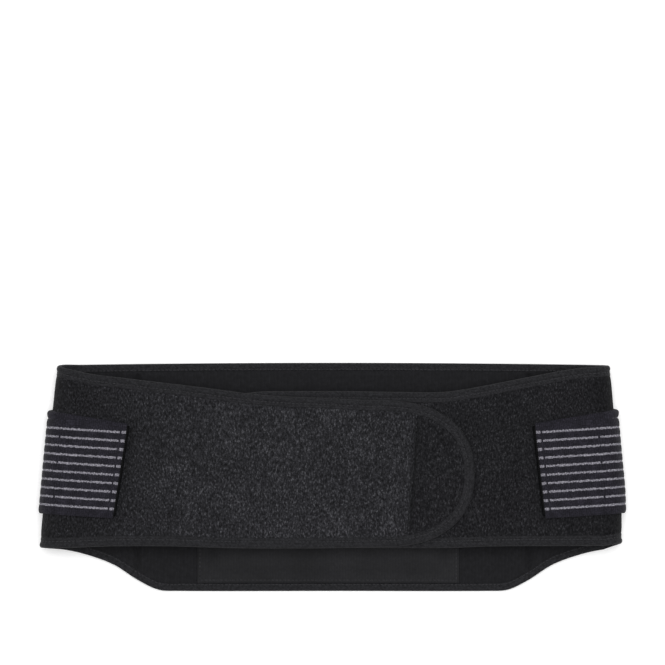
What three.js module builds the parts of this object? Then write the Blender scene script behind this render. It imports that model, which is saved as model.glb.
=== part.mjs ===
// A maternity support belt, fastened and lying on its back.
//
// A contoured centre back panel is sewn between two plush wings. The wings turn round the two side
// folds and fasten in front with hook and loop: the left wing's rounded tab lies over the right wing.
// Tape binds every free edge. On each side a band of striped elastic webbing, folded double, leaves
// the back seam, passes round the side fold and fastens on the front of the wing with its own hook
// patch. A flat pocket is sewn to the lining of the back panel and is open at the waist edge.
//
// Lengths are in millimetres. +X is to the right, +Y goes up to the waist edge, and +Z goes up from
// the surface that the belt lies on. Y is 0 at half the height of the back panel.

import * as THREE from "three";

// Sizes of the belt as it lies
const beltWidth = 451; // across the two side folds, at the lower edge
const foldLean = 13; // how much nearer to the middle the top of each fold is
const sideTop = 86.2; // top edge at the folds, above the middle line
const sideBottom = 54; // lower edge at the folds, below the middle line
const foldRadius = 15; // middle of the cloth, round a fold
const foldPinch = 3.2; // how much nearer to the middle the right fold's lower end lies
const foldRaise = 3.4; // how much higher its lower corner lies
const frontSag = 2; // how far the front sinks between the folds

// Centre back panel
const backHeight = 176;
const backWidth = 302; // seam to seam

// Front of the wings: the top edges at the middle of the front, from the middle line
const overTop = 61;
const underTop = 66.4;
const overReach = 108.5; // how far the over wing's tab passes the middle
const underReach = 116; // how far the under wing passes the middle
const tabRound = 68.5; // length of the rounded end of a wing
const tabRoundness = 2.3; // exponent of the rounded end, where 2 is an ellipse
const tabSeamTop = 65.3; // where the tab's seam meets the top edge, past the middle
const tabSeamBottom = 57.3; // where it meets the lower edge

// Cloth, tape and webbing
const panelThickness = 3.6; // plush, foam and lining together
const tapeThickness = 0.7;
const bindingOutside = 8; // width of the binding on the outer face
const bindingInside = 6; // width of the binding on the lining
const webbingWidth = 73.5;
const webbingThickness = 1.5;
const hookThickness = 1.2;
const gap = 0.3; // clearance between neighbouring pieces

// Side straps: the middle of the folded front end, and the way its two layers run
const strapReach = { left: 60.8, right: 65.4 }; // in from the side fold
const strapSkew = { left: THREE.MathUtils.degToRad(2.5), right: 0 }; // of the fold, off square
const strapEndUp = 5.6; // above the middle line
const strapTilt = THREE.MathUtils.degToRad(6.5); // of the whole strap, rising outward
const strapFan = THREE.MathUtils.degToRad(2.9); // each layer turns this much from it
const strapHookLength = 28.5;
const strapHookPeek = 1.2; // out beyond the end of the webbing
const strapHookInset = 4; // from the webbing's long edges
const strapRamp = 8; // length in which the webbing comes down off its hook patch

// Closure hook patch under the tab
const closureHookInset = 2; // from the binding

// Pocket on the lining
const pocketWidth = 202;
const pocketHeight = 132;
const pocketShift = -3.9; // the pocket sits a little to the left
const pocketCloth = 1.2;
const pocketDepth = 7; // room inside
const pocketSeam = 5; // flat sewn margin
const pocketShoulder = 15; // from the sewn margin up to full depth

// Values worked out from the sizes above
const edgeThickness = panelThickness - 2 * (gap + tapeThickness); // panel pressed flat in its tape
const strapStack = 2 * (webbingThickness + gap); // both layers of webbing under a wing
const closureStack = panelThickness + hookThickness + 2 * gap; // one wing over the other
const sideLevel = strapStack + panelThickness / 2; // middle of the cloth beside the back panel
const axisLevel = sideLevel + foldRadius;
const halfTurn = Math.PI * foldRadius;
const outerRadius = foldRadius + panelThickness / 2;
const seamOut = backWidth / 2;

// Shapes of the edges, as shares. "out" runs from 0 at the middle to 1 at the fold. "fall" runs from
// 0 for the height at the fold to 1 for the height at the middle.
const overTopShape = [
  { out: -0.5, fall: 1.1 },
  { out: -0.16, fall: 1.06 },
  { out: 0, fall: 1 },
  { out: 0.25, fall: 0.9 },
  { out: 0.5, fall: 0.64 },
  { out: 0.76, fall: 0.38 },
  { out: 0.88, fall: 0.25 },
  { out: 1, fall: 0 },
];
const underTopShape = [
  { out: -0.55, fall: 1.02 },
  { out: 0, fall: 1 },
  { out: 0.24, fall: 1.03 },
  { out: 0.4, fall: 1.03 },
  { out: 0.54, fall: 0.8 },
  { out: 0.72, fall: 0.42 },
  { out: 0.87, fall: 0.13 },
  { out: 1, fall: 0 },
];
// The front's lower edges are nearly straight, so here "fall" is in millimetres below their height
// at the fold.
const overBottomShape = [
  { out: -0.5, fall: -1.8 },
  { out: -0.16, fall: -0.8 },
  { out: 0, fall: -0.1 },
  { out: 0.14, fall: 0.1 },
  { out: 0.3, fall: 0 },
  { out: 0.42, fall: -0.6 },
  { out: 0.55, fall: -1.5 },
  { out: 0.75, fall: -1.5 },
  { out: 0.9, fall: -0.4 },
  { out: 1, fall: 0 },
];
const underBottomShape = [
  { out: -0.55, fall: -0.2 },
  { out: 0, fall: -0.2 },
  { out: 0.27, fall: 0 },
  { out: 0.4, fall: -0.2 },
  { out: 0.55, fall: -1.3 },
  { out: 0.8, fall: -1.8 },
  { out: 1, fall: -2 },
];
// The back's lower edge, where "fall" is 1 for the full height of the panel and 0 at the fold.
const backBottomShape = [
  { out: -0.54, fall: 1 },
  { out: 0, fall: 1 },
  { out: 0.54, fall: 1 },
  { out: 0.6, fall: 0.965 },
  { out: 0.67, fall: 0.74 },
  { out: 0.75, fall: 0.4 },
  { out: 0.85, fall: 0.16 },
  { out: 0.93, fall: 0.05 },
  { out: 1, fall: 0 },
];

function smoothstep(share) {
  return THREE.MathUtils.smoothstep(share, 0, 1);
}

// A smooth curve through the rows of a shape table.
function curveThrough(rows) {
  const slopes = rows.map((row, i) => {
    const before = rows[Math.max(i - 1, 0)];
    const after = rows[Math.min(i + 1, rows.length - 1)];
    return (after.fall - before.fall) / (after.out - before.out);
  });
  return (out) => {
    const found = rows.findIndex((row) => out < row.out);
    const i = THREE.MathUtils.clamp((found < 0 ? rows.length : found) - 1, 0, rows.length - 2);
    const width = rows[i + 1].out - rows[i].out;
    const t = (out - rows[i].out) / width;
    return (
      rows[i].fall * (1 + 2 * t) * (1 - t) ** 2 +
      rows[i + 1].fall * t ** 2 * (3 - 2 * t) +
      width * (slopes[i] * t * (1 - t) ** 2 - slopes[i + 1] * t ** 2 * (1 - t))
    );
  };
}

// Height of an edge from the middle line at "out" millimetres from the middle of the belt.
function edgeCurve(shape, foldOut, atFold, atMiddle) {
  const fall = curveThrough(shape);
  return (out) => atFold + (atMiddle - atFold) * fall(out / foldOut);
}

const foldOutTop = beltWidth / 2 - foldLean;
const foldOutBottom = beltWidth / 2;
const backEdges = {
  top: (out) => backHeight / 2 - (backHeight / 2 - sideTop) * (out / foldOutTop) ** 2,
  bottom: edgeCurve(backBottomShape, foldOutBottom, -sideBottom, -backHeight / 2),
};

// The two front edges of a wing that ends in a rounded tab.
function frontEdges(topShape, bottomShape, top, reach) {
  const plainTop = edgeCurve(topShape, foldOutTop, sideTop, top);
  const plainBottom = edgeCurve(bottomShape, foldOutBottom, -sideBottom, -sideBottom - 1);
  const roundStart = tabRound - reach;
  const side = (out, sign) => {
    const middle = (plainTop(out) + plainBottom(out)) / 2;
    const half = (plainTop(out) - plainBottom(out)) / 2;
    const share = THREE.MathUtils.clamp((roundStart - out) / tabRound, 0, 1);
    return middle + sign * half * (1 - share ** tabRoundness) ** (1 / tabRoundness);
  };
  return { top: (out) => side(out, 1), bottom: (out) => side(out, -1), roundStart };
}

const overEdges = frontEdges(overTopShape, overBottomShape, overTop, overReach);
const underEdges = frontEdges(underTopShape, underBottomShape, underTop, underReach);

// The line round which a wing turns at its fold. "Out" is away from the middle of the belt.
const foldUp = new THREE.Vector2(-foldLean, sideTop + sideBottom).normalize();
const foldOut = new THREE.Vector2(foldUp.y, -foldUp.x);
const axisPoint = new THREE.Vector2(foldOutBottom, -sideBottom).addScaledVector(foldOut, -outerRadius);
const foldSlant = Math.atan2(foldOut.y, foldOut.x);

// A wing's flat pattern has x along the wing, 0 where the fold starts at the front and growing round
// the fold to the back, and y along the fold. This gives the pattern point of a point seen from above.
function onPattern(out, up, face) {
  const from = new THREE.Vector2(out, up).sub(axisPoint);
  const past = from.dot(foldOut);
  const turned = foldRadius * Math.asin(THREE.MathUtils.clamp(past / outerRadius, 0, 1));
  const along = past <= 0 ? past : turned;
  return new THREE.Vector2(face === "front" ? along : halfTurn - along, from.dot(foldUp));
}

// Height of the cloth's middle under the belt: low in the middle, raised beside it by the straps.
function backLevel(out) {
  const start = seamOut * 0.78;
  const share = smoothstep((Math.abs(out) - start) / (seamOut * 0.96 - start));
  return panelThickness / 2 + strapStack * share;
}

// How the front falls from the straps' ends to the overlap, for a wing that ends up "fall" lower.
const fallStart = 42; // from the fold's axis line
const fallLength = 36;
const overFall = frontSag - closureStack / 2;
const underFall = frontSag + closureStack / 2;

// Where up a fold its lower end starts to lie nearer to the middle, and the length that this takes.
const pinchStart = 52;
const pinchLength = 58;

// Places a wing's pattern point in space, "lift" millimetres outside the middle of the cloth. The
// lower end of its fold lies "pinch" nearer to the middle.
function wingPlace(side, fall, pinch) {
  return (point, lift) => {
    const at = axisPoint.clone().addScaledVector(foldUp, point.y);
    if (point.x < 0) {
      at.addScaledVector(foldOut, point.x);
      const share = (-point.x - fallStart) / fallLength;
      const level = axisLevel + foldRadius - fall * smoothstep(share);
      return new THREE.Vector3(side * at.x, at.y, level + lift);
    }
    if (point.x <= halfTurn) {
      const turn = point.x / foldRadius;
      const pinched = pinch * smoothstep((pinchStart - point.y) / pinchLength);
      at.addScaledVector(foldOut, (foldRadius + lift - pinched) * Math.sin(turn));
      return new THREE.Vector3(side * at.x, at.y, axisLevel + (foldRadius + lift) * Math.cos(turn));
    }
    at.addScaledVector(foldOut, halfTurn - point.x);
    return new THREE.Vector3(side * at.x, at.y, backLevel(at.x) - lift);
  };
}

// The back panel's pattern is the view from above, and its outer face looks down.
function backPlace(point, lift) {
  return new THREE.Vector3(point.x, point.y, backLevel(point.x) - lift);
}

// Pairs of points, one on the lower and one on the top edge, from "start" to "end" of a stretch.
function stations(count, pairAt) {
  return Array.from({ length: count + 1 }, (_, i) => pairAt(i / count));
}

function mix(a, b, share) {
  return a + (b - a) * share;
}

// Where an edge seen from above meets the axis line of the fold.
function meetAxis(edge) {
  let out = axisPoint.x;
  for (let i = 0; i < 8; i++) out = axisPoint.x + (edge(out) - axisPoint.y) * (foldUp.x / foldUp.y);
  return out;
}

// An edge's pattern points along a share of the way between two places seen from above.
function edgePoint(edges, name, from, to, share, face) {
  const out = mix(from, to, share);
  return onPattern(out, edges[name](out), face);
}

const backStart = { bottom: seamOut + gap / 2, top: seamOut + gap / 2 };

function backStations(count) {
  const end = { bottom: meetAxis(backEdges.bottom), top: meetAxis(backEdges.top) };
  return stations(count, (share) => ({
    bottom: edgePoint(backEdges, "bottom", backStart.bottom, end.bottom, share, "back"),
    top: edgePoint(backEdges, "top", backStart.top, end.top, share, "back"),
  }));
}

// Round the fold an edge runs smoothly through its heights at the back, the crest and the front. The
// lower corner of the crest lies "raise" higher.
function foldStations(edges, count, raise) {
  const edge = (name, crest) => {
    const backHeightAt = edgePoint(backEdges, name, meetAxis(backEdges[name]), 0, 0, "back").y;
    const frontHeightAt = edgePoint(edges, name, meetAxis(edges[name]), 0, 0, "front").y;
    const crestHeight = onPattern(crest.x, crest.y, "front").y;
    return (share) => {
      const bow = 4 * (crestHeight - (backHeightAt + frontHeightAt) / 2);
      return mix(backHeightAt, frontHeightAt, share) + bow * share * (1 - share);
    };
  };
  const bottom = edge("bottom", new THREE.Vector2(foldOutBottom, raise - sideBottom));
  const top = edge("top", new THREE.Vector2(foldOutTop, sideTop));
  return stations(count, (share) => ({
    bottom: new THREE.Vector2(halfTurn * (1 - share), bottom(share)),
    top: new THREE.Vector2(halfTurn * (1 - share), top(share)),
  }));
}

function frontStations(edges, end, count) {
  const start = { bottom: meetAxis(edges.bottom), top: meetAxis(edges.top) };
  return stations(count, (share) => ({
    bottom: edgePoint(edges, "bottom", start.bottom, end.bottom, share, "front"),
    top: edgePoint(edges, "top", start.top, end.top, share, "front"),
  }));
}

// The rounded end, from a line across the wing to just short of its tip.
function tabStations(edges, start, count) {
  const turnOf = (out) => Math.asin(((edges.roundStart - out) / tabRound) ** (tabRoundness / 2));
  const lastTurn = THREE.MathUtils.degToRad(82);
  const outAt = (from, share) =>
    edges.roundStart - tabRound * Math.sin(mix(turnOf(from), lastTurn, share)) ** (2 / tabRoundness);
  const point = (name, share) => {
    const out = outAt(start[name], share);
    return onPattern(out, edges[name](out), "front");
  };
  return stations(count, (share) => ({ bottom: point("bottom", share), top: point("top", share) }));
}

// The pattern moved inward from its two long edges, and from its last station where that is bound.
function inset(pattern, depth, boundEnd) {
  const last = pattern.length - 1;
  const moved = (name, i) => {
    const at = pattern[i][name];
    const other = pattern[i][name === "top" ? "bottom" : "top"];
    const before = pattern[Math.max(i - 1, 0)][name];
    const after = i === last && boundEnd ? other : pattern[Math.min(i + 1, last)][name];
    const along = after.clone().sub(before).normalize();
    const normal = new THREE.Vector2(-along.y, along.x);
    if (normal.dot(other.clone().sub(at)) < 0) normal.negate();
    if (i === 0 || (i === last && !boundEnd)) {
      const across = other.clone().sub(at).normalize();
      return at.clone().addScaledVector(across, depth / across.dot(normal));
    }
    return at.clone().addScaledVector(normal, depth);
  };
  return pattern.map((_, i) => ({ bottom: moved("bottom", i), top: moved("top", i) }));
}

// A closed body from points and triangles, turned so that its faces point out.
function closedGeometry(points, triangles) {
  let volume = 0;
  for (const [a, b, c] of triangles) volume += points[a].dot(points[b].clone().cross(points[c]));
  const index = triangles.flatMap(([a, b, c]) => (volume < 0 ? [a, c, b] : [a, b, c]));
  const geometry = new THREE.BufferGeometry().setFromPoints(points);
  geometry.setIndex(index);
  geometry.computeVertexNormals();
  return geometry;
}

// Joins rings of equal length into the wall of a body, and closes its ends with the given triangles.
function loft(rings, startCap, endCap) {
  const size = rings[0].length;
  const triangles = [];
  for (let i = 0; i + 1 < rings.length; i++) {
    for (let k = 0; k < size; k++) {
      const next = (k + 1) % size;
      const corners = [i * size + k, i * size + next, (i + 1) * size + next, (i + 1) * size + k];
      triangles.push([corners[0], corners[1], corners[2]], [corners[0], corners[2], corners[3]]);
    }
  }
  const end = (rings.length - 1) * size;
  for (const [a, b, c] of startCap) triangles.push([a, c, b]);
  for (const [a, b, c] of endCap) triangles.push([end + a, end + b, end + c]);
  return closedGeometry(rings.flat(), triangles);
}

// End of a panel's section. Its corners run from the outer face's lower corner up the outer face,
// round the top edge, down the lining and round the lower edge.
const panelCap = [
  [0, 1, 2],
  [0, 2, 11],
  [7, 8, 5],
  [7, 5, 6],
  [9, 11, 8],
  [9, 10, 11],
  [8, 11, 2],
  [8, 2, 5],
  [5, 2, 4],
  [4, 2, 3],
];

// A cloth panel that is pressed thin along its bound edges.
function panel(pattern, place, boundEnd) {
  const outer = inset(pattern, bindingOutside + gap, boundEnd);
  const inner = inset(pattern, bindingInside + gap, boundEnd);
  const core = inset(pattern, tapeThickness + gap, boundEnd);
  const thick = panelThickness / 2;
  const thin = edgeThickness / 2;
  const rings = pattern.map((_, i) => [
    place(outer[i].bottom, thick),
    place(outer[i].top, thick),
    place(outer[i].top, thin),
    place(core[i].top, thin),
    place(core[i].top, -thin),
    place(inner[i].top, -thin),
    place(inner[i].top, -thick),
    place(inner[i].bottom, -thick),
    place(inner[i].bottom, -thin),
    place(core[i].bottom, -thin),
    place(core[i].bottom, thin),
    place(outer[i].bottom, thin),
  ]);
  return loft(rings, panelCap, boundEnd ? ringCap(rings[0].length) : panelCap);
}

// End of a section whose corners lie in two matching rows, such as the rounded end of a wing.
function ringCap(size) {
  const triangles = [];
  for (let k = 0; k + 1 < size / 2; k++) {
    const low = (size - k) % size;
    const lowNext = size - k - 1;
    triangles.push([low, k + 1, lowNext], [lowNext, k + 1, k + 2]);
  }
  return triangles;
}

// Tape folded over an edge: a channel along a line of pattern points.
const channelCap = [
  [0, 1, 2],
  [0, 2, 3],
  [0, 3, 4],
  [0, 4, 7],
  [7, 4, 5],
  [7, 5, 6],
];

function binding(pattern, place, names, boundEnd) {
  const line = (depth) => {
    const moved = inset(pattern, depth, boundEnd);
    const forward = moved.map((pair) => pair[names[0]]);
    return names.length > 1 ? [...forward, ...moved.map((pair) => pair[names[1]]).reverse()] : forward;
  };
  const edge = line(0);
  const web = line(tapeThickness);
  const outer = line(bindingOutside);
  const inner = line(bindingInside);
  const thick = panelThickness / 2;
  const inside = edgeThickness / 2 + gap;
  const rings = edge.map((_, i) => [
    place(edge[i], thick),
    place(outer[i], thick),
    place(outer[i], inside),
    place(web[i], inside),
    place(web[i], -inside),
    place(inner[i], -inside),
    place(inner[i], -thick),
    place(edge[i], -thick),
  ]);
  return loft(rings, channelCap, channelCap);
}

// A flat patch between two lifts.
const slabCap = [
  [0, 1, 2],
  [0, 2, 3],
];

function slab(pattern, place, low, high) {
  const rings = pattern.map(({ bottom, top }) => [
    place(bottom, high),
    place(top, high),
    place(top, low),
    place(bottom, low),
  ]);
  return loft(rings, slabCap, slabCap);
}

// Where a line through "point" along "way" crosses the line through "a" and "b".
function crossing(point, way, a, b) {
  const across = b.clone().sub(a);
  const share = a.clone().sub(point).cross(across) / way.cross(across);
  return point.clone().addScaledVector(way, share);
}

function direction(angle) {
  return new THREE.Vector2(Math.cos(angle), Math.sin(angle));
}

const strapMain = direction(strapTilt - foldSlant);
const webbingTurn = gap / 2 + webbingThickness; // outer radius of the fold at the strap's end
const hookStart = -webbingTurn - strapHookPeek;
const hookEnd = hookStart + strapHookLength;

// The folded front end of one side's strap, in the wing's pattern.
function strapFront(side) {
  const middle = onPattern(beltWidth / 2 - strapReach[side], strapEndUp, "front");
  return { middle, across: direction(strapTilt - foldSlant + Math.PI / 2 + strapSkew[side]) };
}

// A line across the strap, a distance from the fold at its front end.
function strapLine(front, distance) {
  const middle = front.middle.clone().addScaledVector(strapMain, distance);
  return [middle, middle.clone().add(front.across)];
}

function foldLine(along) {
  return [new THREE.Vector2(along, 0), new THREE.Vector2(along, 1)];
}

const foldSteps = 10;
const seamLine = [
  onPattern(seamOut + gap, 0, "back"),
  onPattern(seamOut + gap, 1, "back"),
];

// One layer of webbing crosses each line between its two long edges.
function layerPairs(front, turn, lines) {
  const way = direction(strapTilt + turn - foldSlant);
  const aside = new THREE.Vector2(-way.y, way.x);
  const half = webbingWidth / 2;
  return lines.map(([a, b]) => ({
    bottom: crossing(front.middle.clone().addScaledVector(aside, -half), way, a, b),
    top: crossing(front.middle.clone().addScaledVector(aside, half), way, a, b),
  }));
}

// Both layers of a side strap, joined by the fold at its front end.
function strap(place, side) {
  const front = strapFront(side);
  const lines = [
    strapLine(front, 0),
    strapLine(front, hookEnd + 1),
    strapLine(front, hookEnd + 1 + strapRamp),
    ...stations(foldSteps, (share) => foldLine(halfTurn * share)),
    seamLine,
  ];
  const base = panelThickness / 2 + gap;
  const raised = base + hookThickness + gap;
  const bases = lines.map((_, i) => (i < 2 ? raised : base));
  const outerLayer = layerPairs(front, -strapFan, lines);
  const innerLayer = layerPairs(front, strapFan, lines);
  const section = (pair, low, high) => [
    place(pair.bottom, high),
    place(pair.top, high),
    place(pair.top, low),
    place(pair.bottom, low),
  ];
  const outerRings = outerLayer.map((pair, i) => {
    const low = bases[i] + webbingThickness + gap;
    return section(pair, low, low + webbingThickness);
  });
  const innerRings = innerLayer.map((pair, i) =>
    section(pair, bases[i] + webbingThickness, bases[i]),
  );
  const middle = raised + webbingThickness + gap / 2;
  const turnSteps = 4;
  const turnRings = stations(turnSteps, (share) => share * Math.PI)
    .slice(1, -1)
    .map((angle) => {
      const at = (name, radius) => {
        const from = outerLayer[0][name].clone().addScaledVector(strapMain, -radius * Math.sin(angle));
        return place(from, middle + radius * Math.cos(angle));
      };
      return [
        at("bottom", webbingTurn),
        at("top", webbingTurn),
        at("top", gap / 2),
        at("bottom", gap / 2),
      ];
    });
  return loft([...outerRings.reverse(), ...turnRings, ...innerRings], slabCap, slabCap);
}

function strapHook(place, side) {
  const front = strapFront(side);
  const half = webbingWidth / 2 - strapHookInset;
  const pattern = [hookStart, hookEnd].map((distance) => {
    const [middle] = strapLine(front, distance);
    return {
      bottom: middle.clone().addScaledVector(front.across, -half),
      top: middle.clone().addScaledVector(front.across, half),
    };
  });
  const low = panelThickness / 2 + gap;
  return slab(pattern, place, low, low + hookThickness);
}

// The pocket is a thin sheet, flat along its three sewn sides and raised to its depth inside them.
function pocket() {
  const bottom = -backHeight / 2 + bindingInside + gap;
  const raise = (distance) => smoothstep((distance - pocketSeam) / pocketShoulder);
  const sideSteps = [0, pocketSeam];
  for (let i = 1; i <= 4; i++) sideSteps.push(pocketSeam + (pocketShoulder * i) / 4);
  const across = [...sideSteps, ...sideSteps.map((step) => pocketWidth - step).reverse()];
  const up = [...sideSteps, pocketHeight];
  const lining = backLevel(0) + panelThickness / 2 + gap;
  const points = [];
  for (const thickness of [0, pocketCloth]) {
    for (const v of up) {
      for (const u of across) {
        const depth = pocketDepth * raise(Math.min(u, pocketWidth - u)) * raise(v);
        const x = pocketShift - pocketWidth / 2 + u;
        points.push(new THREE.Vector3(x, bottom + v, lining + depth + thickness));
      }
    }
  }
  const wide = across.length;
  const high = up.length;
  const layer = wide * high;
  const triangles = [];
  const quad = (a, b, c, d) => triangles.push([a, b, c], [a, c, d]);
  for (let j = 0; j + 1 < high; j++) {
    for (let i = 0; i + 1 < wide; i++) {
      const at = j * wide + i;
      quad(at, at + wide, at + wide + 1, at + 1);
      quad(layer + at, layer + at + 1, layer + at + wide + 1, layer + at + wide);
    }
  }
  for (let i = 0; i + 1 < wide; i++) {
    const end = (high - 1) * wide + i;
    quad(i, i + 1, layer + i + 1, layer + i);
    quad(end, layer + end, layer + end + 1, end + 1);
  }
  for (let j = 0; j + 1 < high; j++) {
    const left = j * wide;
    const right = left + wide - 1;
    quad(left, layer + left, layer + left + wide, left + wide);
    quad(right, right + wide, layer + right + wide, layer + right);
  }
  return closedGeometry(points, triangles);
}

// Finishes
const plush = new THREE.MeshStandardMaterial({ color: 0x2a2a2c, roughness: 1, metalness: 0 });
const liningCloth = new THREE.MeshStandardMaterial({ color: 0x1f1f21, roughness: 0.9, metalness: 0 });
const tape = new THREE.MeshStandardMaterial({ color: 0x29292b, roughness: 0.85, metalness: 0 });
const webbing = new THREE.MeshStandardMaterial({ color: 0x2a2830, roughness: 0.8, metalness: 0 });
const hook = new THREE.MeshStandardMaterial({ color: 0x1b1b1d, roughness: 0.7, metalness: 0 });
const pocketFinish = new THREE.MeshStandardMaterial({ color: 0x252527, roughness: 0.85, metalness: 0 });

const belt = new THREE.Group();
function add(name, geometry, material) {
  const mesh = new THREE.Mesh(geometry, material);
  mesh.name = name;
  belt.add(mesh);
}

// Centre back panel with its two bindings and its pocket
const backPattern = stations(24, (share) => {
  const out = mix(-seamOut + gap / 2, seamOut - gap / 2, share);
  return {
    bottom: new THREE.Vector2(out, backEdges.bottom(Math.abs(out))),
    top: new THREE.Vector2(out, backEdges.top(out)),
  };
});
add("back_panel", panel(backPattern, backPlace, false), plush);
add("back_top_binding", binding(backPattern, backPlace, ["top"], false), tape);
add("back_lower_binding", binding(backPattern, backPlace, ["bottom"], false), tape);
add("gel_pocket", pocket(), pocketFinish);

// Left wing, which lies over the right one, and the closure tab sewn to its end
const overPlace = wingPlace(-1, overFall, 0);
const atTabSeam = (aside) => ({ bottom: aside - tabSeamBottom, top: aside - tabSeamTop });
const leftWing = [
  ...backStations(6),
  ...foldStations(overEdges, foldSteps, 0).slice(1),
  ...frontStations(overEdges, atTabSeam(gap / 2), 12).slice(1),
];
const tab = tabStations(overEdges, atTabSeam(-gap / 2), 9);
add("left_wing", panel(leftWing, overPlace, false), plush);
add("closure_tab", panel(tab, overPlace, true), plush);
const leftOutline = [...leftWing, ...tab.slice(1)];
add("left_wing_binding", binding(leftOutline, overPlace, ["top", "bottom"], true), tape);

// Hook patch on the underside of the tab
const closurePatch = inset(tab, bindingInside + closureHookInset, true).slice(1);
const closureLift = -panelThickness / 2 - gap;
add("closure_hook", slab(closurePatch, overPlace, closureLift - hookThickness, closureLift), hook);

// Right wing, which lies under the left one
const underPlace = wingPlace(1, underFall, foldPinch);
const underEnd = { bottom: underEdges.roundStart - 1, top: underEdges.roundStart - 1 };
const rightOutline = [
  ...backStations(6),
  ...foldStations(underEdges, foldSteps, foldRaise).slice(1),
  ...frontStations(underEdges, underEnd, 12).slice(1),
  ...tabStations(underEdges, underEnd, 9).slice(1),
];
add("right_wing", panel(rightOutline, underPlace, true), plush);
add("right_wing_binding", binding(rightOutline, underPlace, ["top", "bottom"], true), tape);

// Side straps with their hook patches
add("left_strap", strap(overPlace, "left"), webbing);
add("left_strap_hook", strapHook(overPlace, "left"), hook);
add("right_strap", strap(underPlace, "right"), webbing);
add("right_strap_hook", strapHook(underPlace, "right"), hook);

export default belt;
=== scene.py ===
# %% [markdown]
# A maternity support belt, fastened and lying on its back.
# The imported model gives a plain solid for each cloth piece. This lesson dresses each of them: it lays
# a fine mesh of the real cloth where the solid is, and gives it a procedural material. A cloth
# simulation would crease it its own way, but these folds are known, so formulas lay them. First come
# the frame, the camera, the light and the floor.

import math

import bpy
import numpy as np
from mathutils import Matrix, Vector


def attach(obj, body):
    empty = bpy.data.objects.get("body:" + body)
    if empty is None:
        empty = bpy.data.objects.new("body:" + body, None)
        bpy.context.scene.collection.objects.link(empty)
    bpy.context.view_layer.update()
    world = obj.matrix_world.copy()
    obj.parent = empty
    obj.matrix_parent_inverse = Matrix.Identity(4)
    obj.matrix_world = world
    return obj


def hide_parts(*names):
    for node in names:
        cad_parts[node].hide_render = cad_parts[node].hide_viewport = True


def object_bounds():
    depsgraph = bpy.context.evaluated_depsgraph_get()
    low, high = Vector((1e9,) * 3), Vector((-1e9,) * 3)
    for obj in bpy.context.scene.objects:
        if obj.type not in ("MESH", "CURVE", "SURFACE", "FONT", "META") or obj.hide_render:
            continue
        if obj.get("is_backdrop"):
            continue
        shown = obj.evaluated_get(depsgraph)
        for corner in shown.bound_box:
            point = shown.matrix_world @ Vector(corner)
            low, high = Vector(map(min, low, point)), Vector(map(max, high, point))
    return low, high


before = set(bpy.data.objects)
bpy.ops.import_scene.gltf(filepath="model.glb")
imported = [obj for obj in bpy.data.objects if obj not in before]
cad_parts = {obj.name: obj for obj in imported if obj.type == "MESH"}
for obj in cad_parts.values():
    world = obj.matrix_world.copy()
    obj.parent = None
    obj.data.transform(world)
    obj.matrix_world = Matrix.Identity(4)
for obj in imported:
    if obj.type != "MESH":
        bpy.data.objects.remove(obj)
cad_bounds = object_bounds()
print("solids:", len(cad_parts), "box:", [[round(float(v), 4) for v in c] for c in cad_bounds])

# %% [markdown]
# The photograph looks straight down at the belt. A long lens far above it keeps the front and the
# back at nearly one scale. The lens follows from the width of the surface that the frame shows.

# %% Camera, straight above
mm = 0.001
view_width = 511.3 * mm  # of the photo, at the height of the side folds
view_centre = (-0.5 * mm, 111.4 * mm)  # middle of the photo, towards the waist edge
camera_height = 5.0
fold_height = 20 * mm

lens = bpy.data.cameras.new("overhead_camera")
lens.sensor_width = 36
lens.lens = 36 * (camera_height - fold_height) / view_width
lens.clip_end = 30
camera = bpy.data.objects.new("overhead_camera", lens)
camera.location = (*view_centre, camera_height)
bpy.context.scene.collection.objects.link(camera)
bpy.context.scene.camera = camera
print("lens in mm:", round(lens.lens, 1))

# %% [markdown]
# A belt this dark on white needs light from all round, and one broad soft light overhead that lets
# the folds fall off at their edges. The floor is a plain white sheet of paper on a light table, so it
# stays white right up to the cloth.

# %% Light and floor
bpy.context.scene.view_settings.view_transform = "Standard"

world = bpy.data.worlds.new("white_room")
world.use_nodes = True
world.node_tree.nodes["Background"].inputs["Color"].default_value = (1, 1, 1, 1)
world.node_tree.nodes["Background"].inputs["Strength"].default_value = 0.42
bpy.context.scene.world = world

overhead = bpy.data.lights.new("overhead_softbox", "SUN")
overhead.energy = 2.4
overhead.angle = math.radians(36)
overhead_object = bpy.data.objects.new("overhead_softbox", overhead)
overhead_object.rotation_euler = (math.radians(-6), math.radians(1), 0)
bpy.context.scene.collection.objects.link(overhead_object)


def linear(hex_colour):
    """An sRGB hex value as the linear colour that a shader takes."""
    channels = [int(hex_colour[i : i + 2], 16) / 255 for i in (1, 3, 5)]
    return tuple(c / 12.92 if c <= 0.04045 else ((c + 0.055) / 1.055) ** 2.4 for c in channels) + (1,)


def add_node(tree, kind, inputs=None, output=0, steps=(), **settings):
    """Adds a shader node and gives one of its outputs. inputs are sockets or values, by name or number.
    A setting is a property of the node, or an input by its name. steps are the places and the sRGB hex
    values of a colour ramp."""
    node = tree.nodes.new("ShaderNode" + kind)
    for name, value in settings.items():
        if hasattr(node, name):
            setattr(node, name, value)
        else:
            node.inputs[name.replace("_", " ")].default_value = value
    for name, value in (inputs or {}).items():
        if isinstance(value, bpy.types.NodeSocket):
            tree.links.new(value, node.inputs[name])
        else:
            node.inputs[name].default_value = value
    stops = node.color_ramp.elements if steps else []
    while len(stops) < len(steps):
        stops.new(0.5)
    for stop, (place, colour) in zip(stops, steps):
        stop.position = place
        stop.color = linear(colour)
    return node.outputs[output]


def new_material(name):
    """A new material, its node tree and the Principled shader on its output."""
    material = bpy.data.materials.new(name)
    material.use_nodes = True
    return material, material.node_tree, material.node_tree.nodes["Principled BSDF"]


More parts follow.
